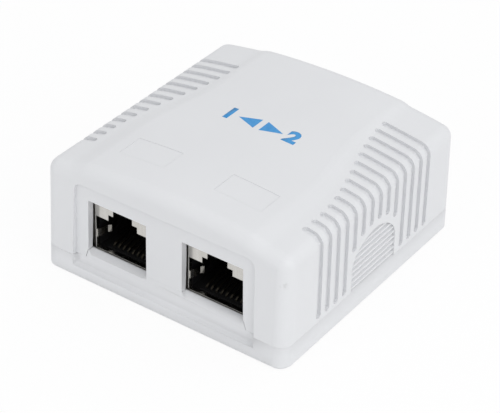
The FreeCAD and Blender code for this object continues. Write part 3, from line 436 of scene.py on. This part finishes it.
def base_moulding():
    """A copy of the base with a bevelled sill under each socket and a sloping ledge."""
    moulding = new_object("base_moulding", node_copy("base"))
    tools = []
    inner_ends = []
    for side in SIDES:
        ends, face_y, top_z = socket_opening(side)
        inner_ends.append(min(ends, key=abs))
        tools.append(("DIFFERENCE", sill_wedge(ends, face_y, top_z)))
    # The sockets share one tongue, so the last face_y and top_z hold for the strip and the ledge.
    strip = block("joint_strip", (inner_ends[0], face_y, top_z - SILL_DROP),
                  (inner_ends[1], face_y + SILL_RUN, top_z + JOINT_CLOSE))
    tools += [("UNION", strip), ("UNION", ledge_slope(face_y, top_z))]
    for operation, tool in tools:
        shape = moulding.modifiers.new(tool.name, "BOOLEAN")
        shape.operation = operation
        shape.solver = "EXACT"
        shape.object = tool
    shaped = evaluated_mesh(moulding)
    moulding.modifiers.clear()
    bm = bmesh.new()
    bm.from_mesh(shaped)
    bmesh.ops.dissolve_degenerate(bm, dist=SLIVER, edges=bm.edges[:])
    bm.to_mesh(shaped)
    bm.free()
    moulding.data = shaped
    for _, tool in tools:
        bpy.data.objects.remove(tool)
    return moulding


moulding = base_moulding()
paint(moulding, white)
moulding.data.set_sharp_from_angle(angle=SHARP)
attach(moulding, "base_body")
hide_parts("base")


# ---- folded tips of the shields' side springs ------------------------------
TIP_BACK = 2.25 * MM         # behind the shield's nose
TIP_LIFT = 5.9 * MM          # above the shield's lowest edge
TIP_HEIGHT = 1.6 * MM
TIP_EASE = 0.08 * MM         # short of that height at each end
TIP_ROOT = 0.05 * MM         # sunk into the sheet
TIP_SHARP = math.radians(50)
TIP_PROFILE = [(0.0, 0.0), (0.10, 0.06), (0.48, 0.36), (0.58, 0.40), (0.70, 0.39),
               (0.90, 0.28), (1.10, 0.11), (1.25, 0.0)]   # run and height, in mm


def spring_tips(side):
    """The crests where both side springs of a shield meet the plug."""
    low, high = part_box(side + "_jack_shield")
    middle = (low.x + high.x) / 2
    low_z = low.z + TIP_LIFT + TIP_EASE
    high_z = low.z + TIP_LIFT + TIP_HEIGHT - TIP_EASE
    bm = bmesh.new()
    for way in (-1, 1):
        crest, root = [], []
        for run, height in TIP_PROFILE:
            y = low.y + TIP_BACK + run * MM
            inside = (middle, y, (low_z + high_z) / 2)
            sheet = first_hit(side + "_jack_shield", inside, (way, 0, 0)).x
            crest.append((sheet - way * height * MM, y))
            root.append((sheet + way * TIP_ROOT, y))
        outline = crest + [root[-1], root[0]]
        add_prism(bm, [[(x, y, z) for x, y in outline] for z in (low_z, high_z)])
    bmesh.ops.recalc_face_normals(bm, faces=bm.faces[:])
    tips = new_object(side + "_spring_tips", bm)
    tips.data.polygons.foreach_set("use_smooth", [True] * len(tips.data.polygons))
    tips.data.set_sharp_from_angle(angle=TIP_SHARP)
    # Painted shade: the tips take the darker nickel copy because they lie deep in the socket.
    paint(tips, nickel_painted_shade)
    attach(tips, "base_body")


for side in SIDES:
    spring_tips(side)


# ---- windows and print of the raised field ---------------------------------
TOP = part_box("cover")[1].z
CROWN = 160 * MM             # radius of the raised field
WINDOW_SINK = (0.10 * MM, 0.20 * MM)
WINDOW_REACH = 15 * MM       # either side of the middle
WINDOW_FRONT = -20 * MM      # leaves out the rounding at the front
LEVEL = 0.9                  # least z of the normal of a face that lies flat
INLAY = 0.09 * MM
INK_GAP = 0.003 * MM
INK = 0.010 * MM
INK_SPAN = 0.8 * MM          # longer edges are split, so that the ink follows the crown
PRINT_Y = 1.8 * MM
FIGURE_X = 6.6 * MM
FIGURE_SIZE = 4.8 * MM
FIGURE_WEIGHT = 0.26 * MM
ARROW_TIP = 4.7 * MM
ARROW_BACK = 0.6 * MM
ARROW_HALF = 1.6 * MM


def on_crown(x):
    return TOP - CROWN + math.sqrt(CROWN ** 2 - x ** 2)


def window_inlays():
    """Thin tiles that nearly fill the two sunk windows of the raised field."""
    bm = node_copy("cover")
    others = []
    for face in bm.faces:
        middle = face.calc_center_median()
        sunk = on_crown(middle.x) - middle.z
        if not (WINDOW_SINK[0] < sunk < WINDOW_SINK[1] and face.normal.z > LEVEL
                and abs(middle.x) < WINDOW_REACH and WINDOW_FRONT < middle.y < 0):
            others.append(face)
    bmesh.ops.delete(bm, geom=others, context="FACES")
    bmesh.ops.solidify(bm, geom=bm.faces[:], thickness=-INLAY)
    return new_object("window_inlays", bm)


def figure(text, x):
    """A plain sans figure as a flat mesh, laid beside the middle."""
    curve = bpy.data.curves.new("figure", "FONT")
    curve.body = text
    curve.size = FIGURE_SIZE
    curve.offset = FIGURE_WEIGHT
    curve.align_x = "CENTER"
    curve.align_y = "CENTER"
    curve.resolution_u = 6
    holder = bpy.data.objects.new("figure", curve)
    bpy.context.scene.collection.objects.link(holder)
    bm = bmesh.new()
    bm.from_mesh(evaluated_mesh(holder))
    bpy.data.objects.remove(holder)
    for v in bm.verts:
        v.co.x += x
        v.co.y += PRINT_Y
    return bm


def arrow(sign):
    """A flat triangle that points away from the middle."""
    bm = bmesh.new()
    corners = [(sign * ARROW_TIP, PRINT_Y), (sign * ARROW_BACK, PRINT_Y + ARROW_HALF),
               (sign * ARROW_BACK, PRINT_Y - ARROW_HALF)]
    bm.faces.new([bm.verts.new((x, y, 0)) for x, y in corners])
    bmesh.ops.subdivide_edges(bm, edges=bm.edges[:], cuts=3, use_grid_fill=True)
    return bm


def printed(name, bm):
    """Lays flat ink on the crown and gives it a hair of thickness."""
    bmesh.ops.triangulate(bm, faces=bm.faces[:])
    long_edges = [edge for edge in bm.edges if edge.calc_length() > INK_SPAN]
    bmesh.ops.subdivide_edges(bm, edges=long_edges, cuts=2)
    for v in bm.verts:
        v.co.z = on_crown(v.co.x) + INK_GAP
    bm.normal_update()
    bmesh.ops.reverse_faces(bm, faces=[face for face in bm.faces if face.normal.z < 0])
    bmesh.ops.solidify(bm, geom=bm.faces[:], thickness=-INK)
    piece = new_object(name, bm)
    paint(piece, ink)
    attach(piece, "cover_body")


inlays = window_inlays()
inlays.data.set_sharp_from_angle(angle=SHARP)
paint(inlays, white)
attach(inlays, "cover_body")

printed("print_one", figure("1", -FIGURE_X))
printed("print_two", figure("2", FIGURE_X))
printed("print_arrow_left", arrow(-1))
printed("print_arrow_right", arrow(1))


# ---- floor and world -------------------------------------------------------
FLOOR_HALF = 1.5
FLOOR_GAP = 0.02 * MM        # keeps the underside out of the floor's own plane
FLOOR_WHITE = 0.95
FLOOR_GLOW = 0.90            # share of plain white that the camera sees
WORLD_TINT = (0.985, 0.99, 1.0)
WORLD_STRENGTH = 0.72


def seen_rays(tree):
    """1 for the rays that look at the background itself, also by way of gloss or glass."""
    rays = tree.nodes.new("ShaderNodeLightPath")
    seen = rays.outputs["Is Camera Ray"]
    for kind in ("Is Glossy Ray", "Is Transmission Ray"):
        either = tree.nodes.new("ShaderNodeMath")
        either.operation = "MAXIMUM"
        tree.links.new(seen, either.inputs[0])
        tree.links.new(rays.outputs[kind], either.inputs[1])
        seen = either.outputs[0]
    return seen


def mixed(tree, share, first, second, target):
    """Leads a mix of two shaders to a socket."""
    mix = tree.nodes.new("ShaderNodeMixShader")
    tree.links.new(share, mix.inputs[0])
    tree.links.new(first.outputs[0], mix.inputs[1])
    tree.links.new(second.outputs[0], mix.inputs[2])
    tree.links.new(mix.outputs[0], target)


def pale_floor():
    """A surface that the camera sees near white, while it still takes shadows."""
    material = bpy.data.materials.new("pale_floor")
    material.use_nodes = True
    tree = material.node_tree
    tree.nodes.clear()
    out = tree.nodes.new("ShaderNodeOutputMaterial")
    diffuse = tree.nodes.new("ShaderNodeBsdfDiffuse")
    diffuse.inputs["Color"].default_value = (FLOOR_WHITE, FLOOR_WHITE, FLOOR_WHITE, 1)
    glow = tree.nodes.new("ShaderNodeEmission")
    glow.inputs["Strength"].default_value = 1.0
    share = tree.nodes.new("ShaderNodeMath")
    share.operation = "MULTIPLY"
    share.inputs[1].default_value = FLOOR_GLOW
    tree.links.new(seen_rays(tree), share.inputs[0])
    mixed(tree, share.outputs[0], diffuse, glow, out.inputs["Surface"])
    return material


bm = bmesh.new()
bmesh.ops.create_grid(bm, x_segments=2, y_segments=2, size=FLOOR_HALF)
floor = new_object("floor", bm)
floor.location.z = cad_box[0][2] - FLOOR_GAP
floor.data.materials.append(pale_floor())

world = bpy.data.worlds.new("studio")
bpy.context.scene.world = world
world.use_nodes = True
sky = world.node_tree
soft = sky.nodes["Background"]
soft.inputs["Color"].default_value = (*WORLD_TINT, 1)
soft.inputs["Strength"].default_value = WORLD_STRENGTH
backdrop = sky.nodes.new("ShaderNodeBackground")
backdrop.inputs["Strength"].default_value = 1.0
mixed(sky, seen_rays(sky), soft, backdrop, sky.nodes["World Output"].inputs["Surface"])


# ---- lamps and camera ------------------------------------------------------
LIT_POINT = (0, 0, 12 * MM)
AZIMUTH, ELEVATION, ROLL = (math.radians(angle) for angle in (34.345, 34.624, 1.718))
CAMERA_PLACE = (0.1541, -0.2263, 0.1970)
SENSOR = 36.0
LENS = 134.78
NEAR_LIMIT = 0.01


def softbox(name, place, size, power):
    """An area light of a given width and depth that faces the part."""
    data = bpy.data.lights.new(name, "AREA")
    data.shape = "RECTANGLE"
    data.size, data.size_y = size
    data.energy = power
    lamp = bpy.data.objects.new(name, data)
    bpy.context.scene.collection.objects.link(lamp)
    lamp.location = place
    aim = Vector(LIT_POINT) - Vector(place)
    lamp.rotation_euler = aim.to_track_quat("-Z", "Y").to_euler()


softbox("key_right", (0.55, -0.15, 0.38), (0.50, 0.50), 1.12)
softbox("top_fill", (0.05, 0.10, 0.75), (0.70, 0.70), 0.95)
softbox("front_fill", (-0.10, -0.70, 0.30), (0.50, 0.40), 0.42)

right = Vector((math.cos(AZIMUTH), math.sin(AZIMUTH), 0))
up = Vector((-math.sin(AZIMUTH) * math.sin(ELEVATION), math.cos(AZIMUTH) * math.sin(ELEVATION),
             math.cos(ELEVATION)))
back = right.cross(up)
rolled_right = math.cos(ROLL) * right + math.sin(ROLL) * up
rolled_up = math.cos(ROLL) * up - math.sin(ROLL) * right
camera_data = bpy.data.cameras.new("camera")
camera_data.sensor_fit = "HORIZONTAL"
camera_data.sensor_width = SENSOR
camera_data.lens = LENS
camera_data.clip_start = NEAR_LIMIT
camera = bpy.data.objects.new("camera", camera_data)
bpy.context.scene.collection.objects.link(camera)
pose = Matrix((rolled_right, rolled_up, back)).transposed().to_4x4()
pose.translation = Vector(CAMERA_PLACE)
camera.matrix_world = pose
bpy.context.scene.camera = camera
bpy.context.scene.view_settings.view_transform = "Standard"
